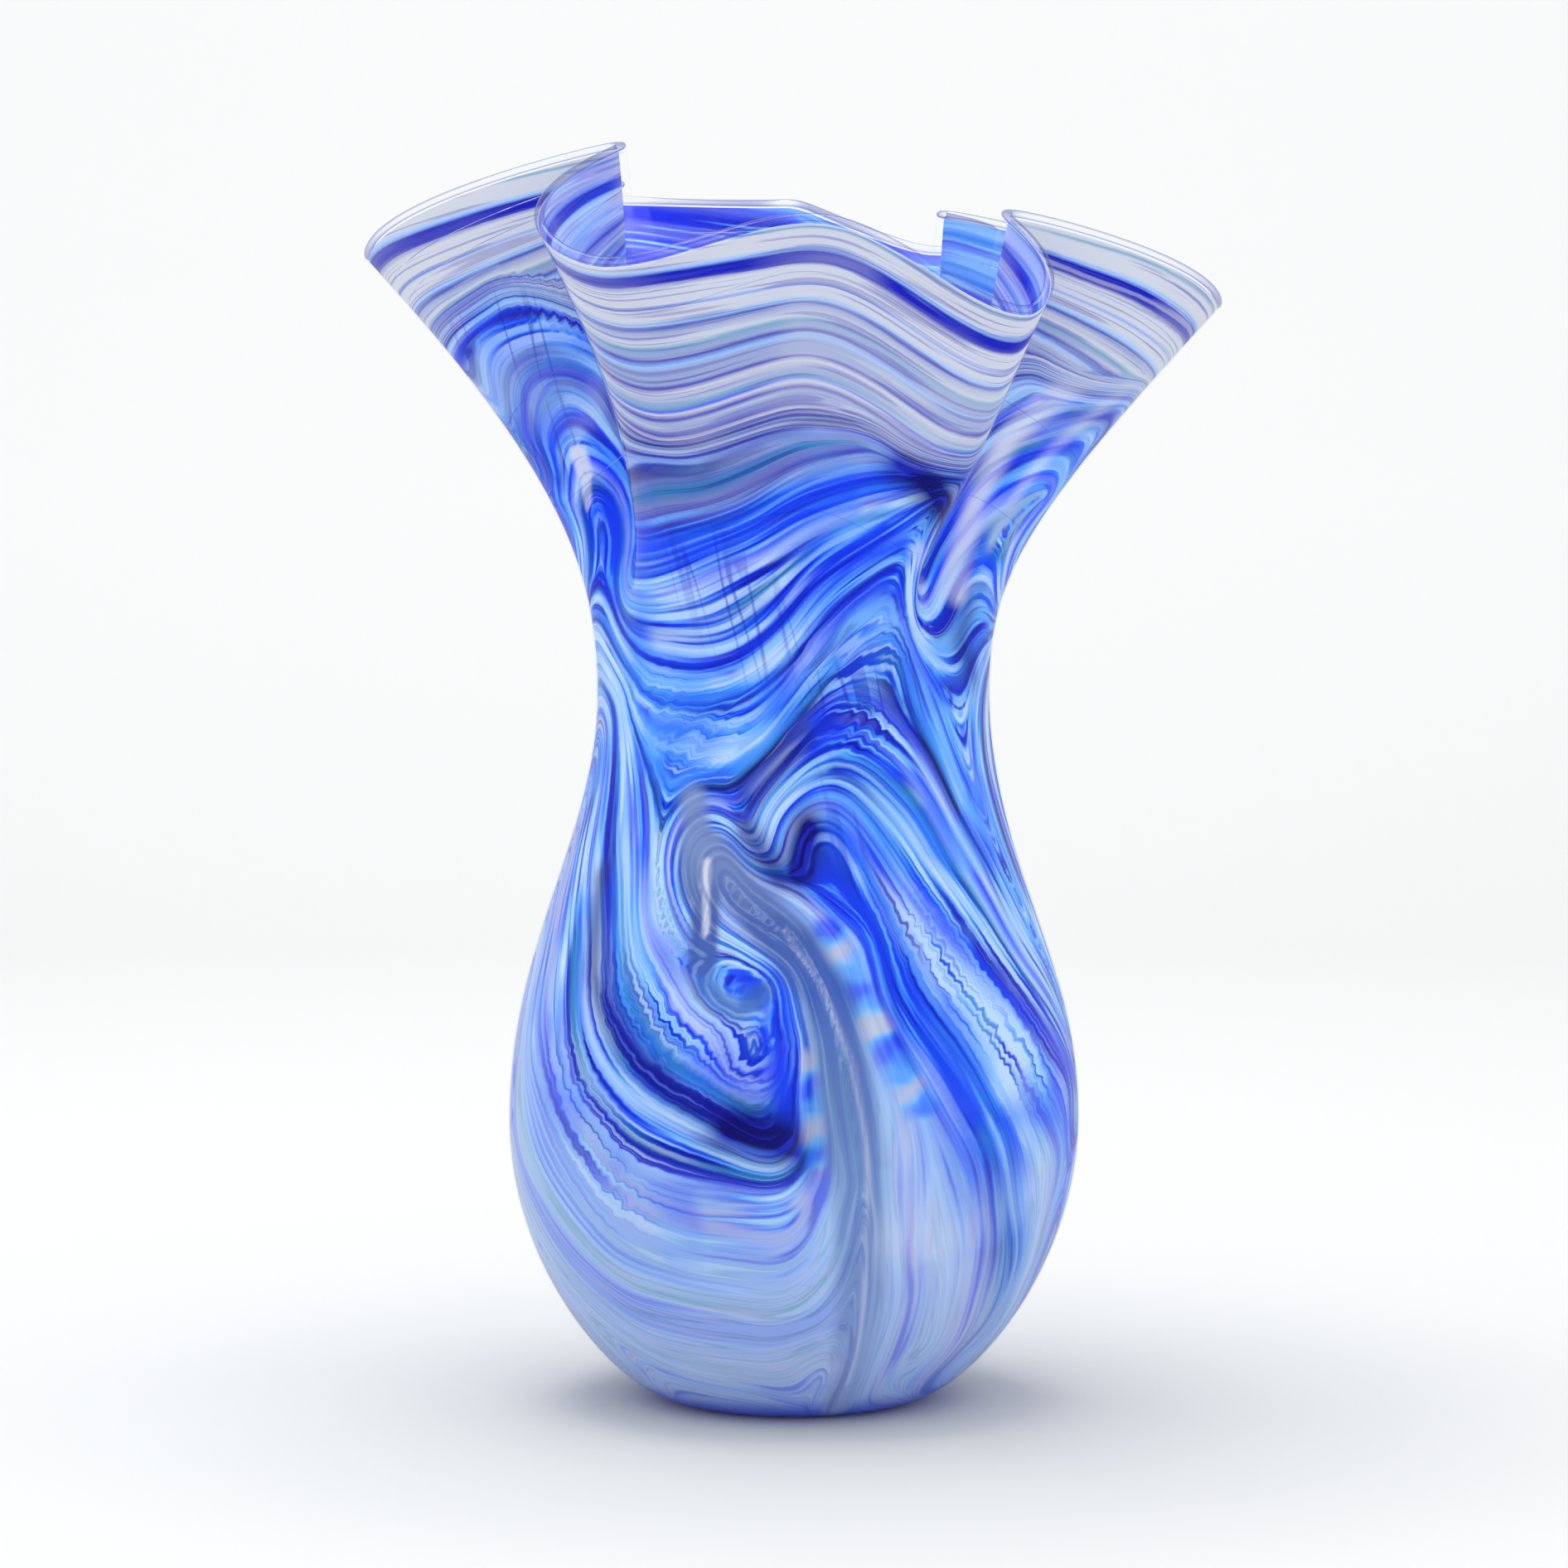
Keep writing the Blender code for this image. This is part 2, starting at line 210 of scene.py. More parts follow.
# Thread number and its path as (azimuth, height). Threads of one number lay level before they were raked.
STROKES = (
    (200, ((-88, 194), (-86, 215), (-80, 230), (-72, 235), (-66, 228), (-61, 214), (-50, 209), (-30, 209),
           (-15, 212), (0, 217), (14, 219), (26, 214), (34, 208), (42, 205))),
    (184, ((-84, 188), (-81, 207), (-76, 220), (-71, 222), (-66, 210), (-60, 192), (-45, 189), (-25, 192),
           (-10, 197), (4, 205), (18, 208), (28, 207), (36, 205))),
    (168, ((-80, 184), (-77, 198), (-73, 206), (-69, 202), (-63, 178), (-45, 175), (-25, 178), (-12, 183),
           (0, 189), (12, 195), (24, 199), (36, 202))),
    (192, ((-56, 199), (-40, 199), (-22, 201), (-8, 206), (5, 212), (18, 213), (28, 209), (36, 206))),
    (176, ((-62, 182), (-45, 182), (-28, 186), (-12, 191), (2, 198), (16, 202), (28, 204), (36, 204))),
    (160, ((-63, 170), (-48, 164), (-30, 162), (-16, 164), (-6, 170), (4, 178), (14, 185), (24, 190),
           (32, 194), (38, 200))),
    (152, ((-58, 162), (-46, 155), (-30, 153), (-16, 155), (-5, 162), (4, 170), (12, 177), (22, 183),
           (30, 187))),
    (200, ((48, 192), (53, 204), (60, 214), (70, 222), (82, 224), (95, 221))),
    (184, ((50, 182), (56, 194), (64, 204), (73, 210), (84, 212), (96, 210))),
    (168, ((52, 174), (60, 184), (70, 193), (80, 197), (90, 198), (98, 196))),
    (146, ((-55, 153), (-46, 147), (-32, 144), (-18, 144), (-8, 148), (0, 156), (8, 164), (16, 170),
           (26, 173), (34, 171), (40, 162), (46, 150), (54, 134), (64, 116), (76, 98), (90, 86))),
    (141, ((-16, 139), (-6, 147), (2, 155), (10, 160), (20, 161), (30, 158), (38, 150), (46, 139), (55, 124),
           (65, 107), (78, 90), (90, 80))),
    (136, ((-16, 131), (-9, 138), (0, 146), (8, 151), (18, 153), (28, 150), (36, 142), (44, 131), (53, 116),
           (63, 100), (75, 84), (88, 72))),
    (128, ((-14, 124), (-8, 132), (0, 139), (8, 144), (17, 145), (26, 140), (34, 131), (42, 120), (52, 105),
           (62, 90), (75, 74), (88, 58))),
    (120, ((-8, 122), (-4, 130), (3, 136), (10, 138), (17, 135), (25, 127), (33, 116), (42, 102), (52, 87),
           (62, 72), (72, 56), (80, 40), (84, 22))),
    (112, ((-2, 122), (0, 129), (6, 133), (12, 132), (18, 125), (25, 114), (32, 101), (40, 86), (48, 71),
           (56, 55), (63, 38), (67, 20), (68, 4))),
    (104, ((6, 125), (10, 122), (15, 113), (20, 101), (26, 87), (33, 71), (40, 56), (46, 40), (50, 22),
           (51, 4))),
    (97, ((14, 106), (18, 92), (23, 76), (29, 60), (34, 44), (37, 26), (38, 5))),
    (90, ((-14, 121), (-2, 115), (6, 107), (12, 95), (16, 82), (20, 66), (24, 48), (26, 30), (27, 5))),
    (60, ((-21, 121), (-14, 117), (-4, 111), (3, 103), (8, 93), (11, 79), (13, 62), (15, 47), (16, 32),
          (17, 17), (17, 5))),
    (78, ((-15, 111), (-8, 108), (-1, 102), (4, 93), (7, 81), (9, 68), (11, 56))),
    (64, ((-90, 94), (-84, 78), (-75, 58), (-60, 40), (-40, 28), (-20, 23), (-5, 23), (5, 27), (10, 36),
          (13, 50))),
    (48, ((-90, 57), (-78, 38), (-60, 23), (-40, 14), (-20, 10), (0, 9), (12, 10))),
    (76, ((-84, 106), (-74, 76), (-60, 53), (-42, 39), (-22, 32), (-6, 31), (3, 35), (8, 44), (10, 56))),
    (88, ((-80, 120), (-68, 86), (-53, 63), (-38, 50), (-20, 43), (-5, 42), (3, 47), (6, 56))),
    (100, ((-75, 134), (-64, 100), (-50, 73), (-36, 60), (-18, 54), (-5, 53), (1, 57))),
    (112, ((-69, 146), (-59, 112), (-46, 86), (-33, 73), (-18, 65), (-8, 61), (-3, 60))),
    (124, ((-64, 152), (-54, 118), (-43, 93), (-30, 80), (-16, 71), (-6, 66), (-2, 68))),
    (132, ((-60, 156), (-49, 126), (-39, 102), (-28, 88), (-16, 79), (-8, 75), (-3, 78), (-1, 86))),
    (138, ((-56, 155), (-44, 131), (-35, 110), (-26, 97), (-17, 89), (-9, 87), (-4, 91), (-3, 99))),
    (143, ((-50, 150), (-39, 134), (-32, 117), (-27, 105), (-22, 98), (-17, 100), (-14, 104))),
    (140, ((-20, 94), (-14, 92), (-8, 95), (-6, 101))),
)
# The same rakes are drawn again on the far side of the vase.
SIDES = (0.0, 180.0)
STROKE_SPACING = 5.0
DRUM_RADIUS = 50.0
# One thread runs level round the vase just below the foot.
FOOT_THREAD = 34.0
FOOT_THREAD_HEIGHT = -6.0
FOOT_THREAD_SPACING = 12.0
FLOW_STIFFNESS = 200.0
# Points evaluated at a time, to save memory.
FLOW_CHUNK = 4000
# The rakes end at this height, and the field keeps its value above it.
RAKE_TOP = 238.0
# Above the rakes the threads run level with the rim: (azimuth, station where that begins).
LEVEL_FROM = np.array((
    (-121, 3.66), (-94, 3.83), (-77, 3.82), (-64, 3.66), (-48, 3.58), (-25, 3.64), (2, 3.64), (20, 3.67),
    (36, 3.69), (54, 3.66), (68, 3.74), (90, 3.81), (124, 3.66), (158, 3.64), (182, 3.60), (211, 3.64),
    (239, 3.66),
))
LEVEL_BLEND = 0.07
FLARE_THREAD, RIM_THREAD = 200.0, 270.0
FLARE_ZERO = 3.57
# Between these stations the level threads come to slip up or down a little.
SLIP_STATIONS = (3.7, 3.97)
# azimuth, threads of slip
SLIP = np.array((
    (-121, 0.0), (-92, 6.0), (-64, 0.0), (-25, 4.0), (2, 0.0), (37, 0.5), (94, 0.0), (124, 2.0), (158, -2.0),
    (182, 2.0), (211, 6.0), (239, 0.0),
))


def on_drum(azimuth, height):
    """A place on the wall as a point on a plain cylinder, so that the flow closes round the vase."""
    angle = np.radians(azimuth)
    return np.stack((DRUM_RADIUS * np.sin(angle), -DRUM_RADIUS * np.cos(angle), height), -1)


def stroke_points():
    """Points along every stroke, with their thread numbers."""
    points, numbers = [], []
    for side in SIDES:
        for number, path in STROKES:
            azimuth, height = np.array(path, float).T
            steps = np.hypot(np.diff(azimuth) * math.radians(DRUM_RADIUS), np.diff(height))
            along = np.append(0.0, np.cumsum(steps))
            stops = np.linspace(0.0, along[-1], int(along[-1] / STROKE_SPACING) + 2)
            points.append(on_drum(np.interp(stops, along, azimuth) + side, np.interp(stops, along, height)))
            numbers.append(np.full(len(stops), float(number)))
    foot = np.arange(0.0, 360.0, FOOT_THREAD_SPACING)
    points.append(on_drum(foot, np.full_like(foot, FOOT_THREAD_HEIGHT)))
    numbers.append(np.full_like(foot, FOOT_THREAD))
    return np.concatenate(points), np.concatenate(numbers)


def distances_cubed(first, second):
    """The cubed distance from each of the first points to each of the second."""
    squared = (first * first).sum(1)[:, None] + (second * second).sum(1)[None] - 2.0 * first @ second.T
    return np.maximum(squared, 0.0) ** 1.5


class Flow:
    """A smooth field of thread numbers through the strokes, by cubic radial splines."""

    def __init__(self):
        self.points, numbers = stroke_points()
        count = len(self.points)
        kernel = distances_cubed(self.points, self.points) + FLOW_STIFFNESS * np.eye(count)
        plane = np.c_[np.ones(count), self.points]
        system = np.block([[kernel, plane], [plane.T, np.zeros((4, 4))]])
        self.weights = np.linalg.solve(system, np.append(numbers, np.zeros(4)))

    def at(self, azimuth, height):
        places = on_drum(azimuth.ravel(), height.ravel())
        numbers = np.empty(len(places))
        for start in range(0, len(places), FLOW_CHUNK):
            part = places[start:start + FLOW_CHUNK]
            plane = np.c_[np.ones(len(part)), part]
            bent = distances_cubed(part, self.points) @ self.weights[:-4]
            numbers[start:start + FLOW_CHUNK] = bent + plane @ self.weights[-4:]
        return numbers.reshape(azimuth.shape)


def round_table(table, azimuth):
    """A table's value at an azimuth, eased between its rows."""
    knots, values = table.T
    place = (azimuth - knots[0]) % 360.0 + knots[0]
    index = np.clip(np.searchsorted(knots, place, side="right") - 1, 0, len(knots) - 2)
    share = ease((place - knots[index]) / (knots[index + 1] - knots[index]))
    return mix(values[index], values[index + 1], share)


def level_share(azimuth, station):
    """1 where the threads run level with the rim, 0 where they are raked."""
    start = round_table(LEVEL_FROM, azimuth)
    return smooth_step(start, start + LEVEL_BLEND, station)


def thread_number(flow, azimuth, station):
    """The thread through each point: raked below, level with the rim above."""
    height = outline(azimuth, station)[1]
    raked = flow.at(azimuth, np.minimum(height, RAKE_TOP))
    slip = round_table(SLIP, azimuth) * smooth_step(*SLIP_STATIONS, station)
    level = mix(FLARE_THREAD, RIM_THREAD, (station - FLARE_ZERO) / (RIM - FLARE_ZERO)) - slip
    return mix(raked, level, level_share(azimuth, station))


# The steps in degrees and in station over which the pitch is taken, and its least and greatest, in threads
# for each millimetre.
PITCH_AZIMUTH, PITCH_STATION = 0.8, 0.012
PITCH_LEAST, PITCH_GREATEST = 0.2, 5.0
PITCH_SHORTEST_STEP = 0.2
# The least stations of the two ends of a step, so that they never meet on the axis.
PITCH_BOTTOM = (0.02, 0.05)


def thread_rise(flow, start, end):
    """How many threads lie in each millimetre between two places, each (azimuth, station)."""
    threads = thread_number(flow, *end) - thread_number(flow, *start)
    distance = np.linalg.norm(wall_point(*end) - wall_point(*start), axis=-1)
    return threads / np.maximum(distance, PITCH_SHORTEST_STEP)


def thread_pitch(flow, azimuth, station):
    """How closely the threads run, as the power of two of threads in a millimetre."""
    across = thread_rise(flow, (azimuth - PITCH_AZIMUTH, station), (azimuth + PITCH_AZIMUTH, station))
    low = np.clip(station - PITCH_STATION, PITCH_BOTTOM[0], RIM)
    high = np.clip(station + PITCH_STATION, PITCH_BOTTOM[1], RIM)
    up = thread_rise(flow, (azimuth, low), (azimuth, high))
    return np.log2(np.clip(np.hypot(across, up), PITCH_LEAST, PITCH_GREATEST))


# ---- where the glass is milky, deep or light, and where highlights and light are painted ----

# Soft paths: half width in mm, strength, path as (azimuth, height).
MILKY = (
    (4.4, 0.8, ((-29, 135), (-27, 126))),
    (5.0, 1.0, ((-27, 126), (-25, 117))),
    (3.4, 1.0, ((-25, 117), (-22, 102))),
    (5.5, 1.0, ((-25, 124), (-10, 114), (0, 106), (7, 95), (10, 80), (13, 60))),
    (5.5, 0.9, ((13, 60), (14, 40), (16, 5))),
    (3.5, 0.6, ((-24, 104), (-20, 97), (-12, 92), (-6, 97))),
)
# Milky white glass, with painted highlights and painted light over it, marked path by path below.
WHITE_AND_HIGHLIGHTS = (
    # painted highlight: the cream sliver down the teardrop at -25 degrees
    (1.7, 0.85, ((-25, 122), (-25, 117))),
    (1.2, 0.8, ((-25, 117), (-23, 107))),
    # painted highlight: the white sliver down the left fold
    (1.4, 1.3, ((-74, 208), (-74, 203))),
    (0.9, 1.2, ((-74, 203), (-75, 196))),
    (3.0, 0.5, ((-68, 224), (-70, 216), (-73, 212))),
    # the next two paths are partly milky glass and partly painted highlight: the white curves on the right
    # fold
    (4.0, 0.85, ((74, 224), (65, 210), (61, 198), (60, 178))),
    (3.0, 0.60, ((82, 220), (74, 205), (68, 188))),
    (3.4, 0.7, ((32, 188), (49, 179))),
    (1.3, 0.55, ((-2, 109), (6, 98), (12, 82), (15, 65), (16, 10))),
    (14.0, 0.55, ((24, 44), (40, 34), (48, 16))),
    # painted light: brightens the shaded underside of the foot
    (8.0, 0.45, ((-30, 14), (10, 14))),
)
DEEP = (
    (3.5, 1.2, ((4, 130), (1, 121))),
    (3.5, 0.8, ((-13, 129), (-3, 120))),
    (3.0, 0.7, ((-55, 118), (-49, 98), (-36, 83), (-21, 73), (-6, 67))),
    (5.0, 1.2, ((-12, 68), (1, 64))),
    (4.0, 1.1, ((24, 207), (41, 194))),
    (3.0, 0.6, ((-12, 136), (3, 150))),
    (3.5, 0.6, ((63, 176), (60, 167), (66, 160))),
    (1.6, 0.7, ((-44, 210), (-16, 210), (5, 216), (16, 216), (33, 203))),
    (1.8, 0.5, ((-46, 203), (-20, 205), (-8, 211))),
)
ROYALS = (
    (4.5, 1.0, ((7, 119), (16, 114), (21, 101), (28, 86), (38, 70))),
    (2.4, 0.8, ((11, 132), (31, 114), (52, 93), (84, 70))),
    (4.0, 1.0, ((-4, 99), (-3, 82), (0, 68))),
    (3.6, 0.9, ((-60, 187), (-25, 188), (-8, 195), (5, 202), (26, 206))),
    (1.7, 0.9, ((-57, 170), (-42, 165), (-18, 163), (-4, 172), (16, 186), (28, 190))),
    (2.6, 0.8, ((-69, 207), (-71, 194), (-70, 180))),
    (6.0, 0.4, ((-78, 234), (-80, 214))),
    (3.0, 0.7, ((28, 77), (44, 46))),
    (3.5, 0.6, ((44, 68), (60, 68), (74, 60))),
)
VEILED = (
    (6.5, 0.9, ((-50, 201), (-20, 202), (-5, 208), (16, 213))),
)
LIGHT = (
    (4.5, 1.0, ((27, 115), (38, 99), (53, 80))),
    (6.0, 0.6, ((-48, 124), (-35, 100), (-18, 88))),
    (5.5, 0.9, ((-38, 177), (-20, 178), (-4, 182))),
    (5.0, 0.7, ((-40, 168), (-10, 173))),
    (6.0, 0.5, ((6, 164), (26, 168))),
    (5.0, 0.7, ((-12, 90), (-6, 80))),
    (6.0, 0.5, ((-50, 82), (-26, 60))),
    (6.0, 0.5, ((60, 96), (78, 68))),
)
PALE = (
    (10.0, 1.0, ((20, 62), (30, 44), (46, 46), (60, 52), (66, 34), (50, 18), (34, 14))),
    (8.0, 0.8, ((62, 230), (80, 230), (100, 220))),
    (6.0, 0.6, ((66, 214), (84, 216))),
)
WINDOWS = (
    (3.8, 1.0, ((8, 109), (16, 91), (26, 72))),
    (2.8, 1.0, ((4, 83), (5, 61))),
)
ZIGZAG = (
    (7.0, 1.0, ((8, 164), (26, 170))),
    (7.0, 0.8, ((-38, 94), (-20, 80), (-10, 84))),
    (7.0, 0.9, ((-52, 78), (-36, 52))),
    (7.0, 0.9, ((30, 108), (48, 88), (56, 74))),
    (7.0, 0.9, ((-43, 156), (-34, 146), (-20, 148))),
    (5.0, 0.8, ((4, 150), (24, 150))),
)
CROSSED = (
    (9.0, 1.0, ((-78, 234), (-78, 208))),
    (9.0, 0.9, ((-24, 186), (-8, 170))),
    (6.0, 1.0, ((12, 158), (36, 158))),
    (6.0, 0.6, ((14, 142), (14, 124))),
)
# The soft paths that the material reads, by the name it reads them under.
SOFT_PATHS = {
    "milky": MILKY, "deep": DEEP, "light": LIGHT, "white_and_highlight": WHITE_AND_HIGHLIGHTS, "royal": ROYALS, "veil": VEILED,
    "window": WINDOWS, "zigzag": ZIGZAG, "crossed": CROSSED,
}
# How blue the inside of the mouth is: (azimuth, strength).
LINING = np.array((
    (-180, 1.0), (-150, 1.0), (-125, 0.5), (-92, 0.05), (-66, 0.15), (-50, 0.6), (0, 0.6), (45, 0.6),
    (60, 0.3), (94, 0.2), (115, 0.9), (160, 0.9), (180, 1.0),
))
# The pale ground covers the lowest threads and the lowest glass: fully below the first, not above the second.
PALE_THREADS = (70.0, 104.0)
PALE_HEIGHTS = (20.0, 64.0)


def closeness(table, azimuth, height):
    """How strongly a point lies on soft paths drawn on both sides of the vase."""
    strength = np.zeros_like(azimuth)
    for side in SIDES:
        for half_width, peak, path in table:
            nearest = np.full_like(azimuth, np.inf)
            turned = np.radians(turn_between(azimuth, side)) * DRUM_RADIUS
            places = np.stack((turned, height), -1)
            knots = np.array([(math.radians(a) * DRUM_RADIUS, h) for a, h in path])
            for start, end in zip(knots[:-1], knots[1:]):
                line = end - start
                share = np.clip(((places - start) @ line) / (line @ line), 0.0, 1.0)
                offset = places - start - share[..., None] * line
                nearest = np.minimum(nearest, np.linalg.norm(offset, axis=-1))
            strength = np.maximum(strength, peak * np.exp(-(nearest / half_width) ** 2))
    return strength


def pale_share(azimuth, station, thread):
    """1 where the glass is the pale ground of the foot, 0 where it is coloured."""
    height = outline(azimuth, station)[1]
    low_threads = 1.0 - smooth_step(*PALE_THREADS, thread)
    low_down = 1.0 - smooth_step(*PALE_HEIGHTS, height)
    return np.maximum(np.maximum(low_threads, low_down), closeness(PALE, azimuth, height))


# ---- meshes ----

COLUMNS = 360
# Points nearer than this are one point.
MERGE = 0.0005
SHARP_ANGLE = math.radians(50.0)


def lattice(points):
    """Quads between neighbouring rows of points, each row joined round the vase."""
    rows, columns = points.shape[:2]
    ring = np.arange(columns)
    start = np.arange(rows - 1)[:, None] * columns
    right = (ring + 1) % columns
    corners = (start + ring, start + right, start + columns + right, start + columns + ring)
    return np.stack(corners, -1).reshape(-1, 4)


def store(mesh, name, values):
    """Save a value for every point."""
    attribute = mesh.attributes.new(name, "FLOAT", "POINT")
    attribute.data.foreach_set("value", values.ravel().astype(np.float32))


def ringed_piece(name, node, points, material, values=None):
    """A closed piece that stands for one CAD node, from rows of points round the vase and their values."""
    mesh = bpy.data.meshes.new(name)
    mesh.from_pydata((points.reshape(-1, 3) * MM).tolist(), [], lattice(points).tolist())
    for key, numbers in (values or {}).items():
        store(mesh, key, numbers)
    shape = bmesh.new()
    shape.from_mesh(mesh)
    bmesh.ops.remove_doubles(shape, verts=shape.verts, dist=MERGE * MM)
    bmesh.ops.recalc_face_normals(shape, faces=shape.faces)
    shape.to_mesh(mesh)
    shape.free()
    mesh.shade_smooth()
    piece = bpy.data.objects.new(name, mesh)
    bpy.context.scene.collection.objects.link(piece)
    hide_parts(node)
    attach(piece, "root")
    mesh.materials.append(material)
    return piece


def flow_values(flow, azimuth, station, inside):
    """What the material reads at each point. Inside is 1 on the inner face and 0 elsewhere."""
    height = outline(azimuth, station)[1]
    thread = thread_number(flow, azimuth, station)
    values = {"thread": thread, "pale": pale_share(azimuth, station, thread)}
    values.update((name, closeness(table, azimuth, height)) for name, table in SOFT_PATHS.items())
    values["level"] = level_share(azimuth, station)
    values["pitch"] = thread_pitch(flow, azimuth, station)
    values["inside"] = inside * round_table(LINING, azimuth)
    return values


def layer(name, node, outer_station, outer_depth, inner_depth, material, flow=None):
    """A closed layer of the wall: its outer face upwards, then its inner face down in fewer rows."""
    azimuth = np.arange(COLUMNS) * 360.0 / COLUMNS
    inner_rows = max(2, len(outer_station) * 2 // 5)
    inner_station = np.linspace(outer_station[-1], outer_station[0], inner_rows)
    azimuths, places, faces = [], [], []
    for stations, depth in ((outer_station, outer_depth), (inner_station, inner_depth)):
        around, along = np.meshgrid(azimuth, stations)
        point, inward, _ = wall_frame(around, along)
        azimuths.append(around)
        places.append(along)
        faces.append(point + inward * depth(along)[..., None])
    joined = outer_station[0] > 0.0
    if joined:
        for rows in (azimuths, places, faces):
            rows.append(rows[0][:1])
    values = None
    if flow is not None:
        inside = np.repeat((0.0, 1.0, 0.0), (len(outer_station), inner_rows, int(joined)))[:, None]
        values = flow_values(flow, np.concatenate(azimuths), np.concatenate(places), inside)
    piece = ringed_piece(name, node, np.concatenate(faces), material, values)
    piece.data.set_sharp_from_angle(angle=SHARP_ANGLE)


def at_depth(depth):
    """A face that lies one depth under the surface all over."""
    return lambda station: np.full_like(station, depth)


# ---- materials ----

class Graph:
    """A material's node tree, built by calls that return sockets."""

    def __init__(self, name):
        self.material = bpy.data.materials.new(name)
        self.material.use_nodes = True
        self.tree = self.material.node_tree
        self.tree.nodes.clear()

    def node(self, kind, settings=None, **inputs):
        made = self.tree.nodes.new(kind)
        for key, value in (settings or {}).items():
            setattr(made, key, value)
        for key, value in inputs.items():
            self.feed(made.inputs[key.replace("_", " ")], value)
        return made

    def feed(self, socket, value):
        if isinstance(value, bpy.types.NodeSocket):
            self.tree.links.new(value, socket)
        elif isinstance(value, tuple) and len(value) == 3 and socket.type == "RGBA":
            socket.default_value = (*value, 1.0)
        else:
            socket.default_value = value

    def attribute(self, name):
        return self.node("ShaderNodeAttribute", {"attribute_name": name}).outputs["Fac"]

    def maths(self, operation, first, second=0.0, clamp=False):
        made = self.node("ShaderNodeMath", {"operation": operation, "use_clamp": clamp})
        self.feed(made.inputs[0], first)
        self.feed(made.inputs[1], second)
        return made.outputs[0]

    def scaled(self, value, factor, offset=0.0):
        made = self.node("ShaderNodeMath", {"operation": "MULTIPLY_ADD"})
        for socket, item in zip(made.inputs, (value, factor, offset)):
            self.feed(socket, item)
        return made.outputs[0]

    def position(self):
        """The point's place on the vase, as x, y and z in mm."""
        place = self.node("ShaderNodeTexCoord").outputs["Object"]
        split = self.node("ShaderNodeSeparateXYZ", Vector=place)
        return [self.scaled(split.outputs[axis], 1.0 / MM) for axis in range(3)]

    def vector(self, x, y, z):
        return self.node("ShaderNodeCombineXYZ", X=x, Y=y, Z=z).outputs[0]

    def noise(self, vector, scale, detail):
        return self.node("ShaderNodeTexNoise", Vector=vector, Scale=scale, Detail=detail).outputs["Fac"]

    def ramp(self, value, stops):
        made = self.node("ShaderNodeValToRGB", Fac=value)
        elements = made.color_ramp.elements
        while len(elements) < len(stops):
            elements.new(1.0)
        for element, (place, colour) in zip(elements, stops):
            element.position = place
            element.color = (*colour, 1.0)
        return made.outputs["Color"]

    def step(self, value, low, high):
        """0 below low, 1 above high."""
        made = self.node("ShaderNodeMapRange", {"interpolation_type": "SMOOTHSTEP", "clamp": True})
        for socket, item in zip(made.inputs, (value, low, high, 0.0, 1.0)):
            self.feed(socket, item)
        return made.outputs[0]

    def blend(self, share, low, high):
        made = self.node("ShaderNodeMix", {"data_type": "RGBA"})
        self.feed(made.inputs[0], share)
        self.feed(made.inputs[6], low)
        self.feed(made.inputs[7], high)
        return made.outputs[2]

    def shader_mix(self, share, first, second):
        made = self.node("ShaderNodeMixShader", Fac=share)
        self.tree.links.new(first.outputs[0], made.inputs[1])
        self.tree.links.new(second.outputs[0], made.inputs[2])
        return made

    def finish(self, shader):
        output = self.node("ShaderNodeOutputMaterial")
        self.tree.links.new(shader, output.inputs["Surface"])
        return self.material


NAVY = (0.004, 0.004, 0.170)
INDIGO = (0.030, 0.025, 0.300)
COBALT = (0.010, 0.018, 0.560)
ROYAL = (0.008, 0.065, 0.980)
VIOLET = (0.085, 0.090, 0.550)
PERIWINKLE = (0.110, 0.180, 0.860)
SKY = (0.070, 0.380, 1.000)
CYAN = (0.230, 0.620, 1.000)
PALE_BLUE = (0.400, 0.660, 1.000)
ICE = (0.680, 0.880, 1.000)
TEAL = (0.025, 0.270, 0.560)
SEA = (0.250, 0.480, 0.680)
LAVENDER = (0.330, 0.510, 0.930)
MIST = (0.490, 0.660, 0.930)
MILK = (0.050, 0.130, 0.480)
OPAL = (0.740, 0.765, 0.830)
ROSE = (0.520, 0.550, 0.820)
PEARL = (0.400, 0.480, 0.740)
GREY = (0.260, 0.310, 0.640)
CREAM = (0.700, 0.700, 0.760)

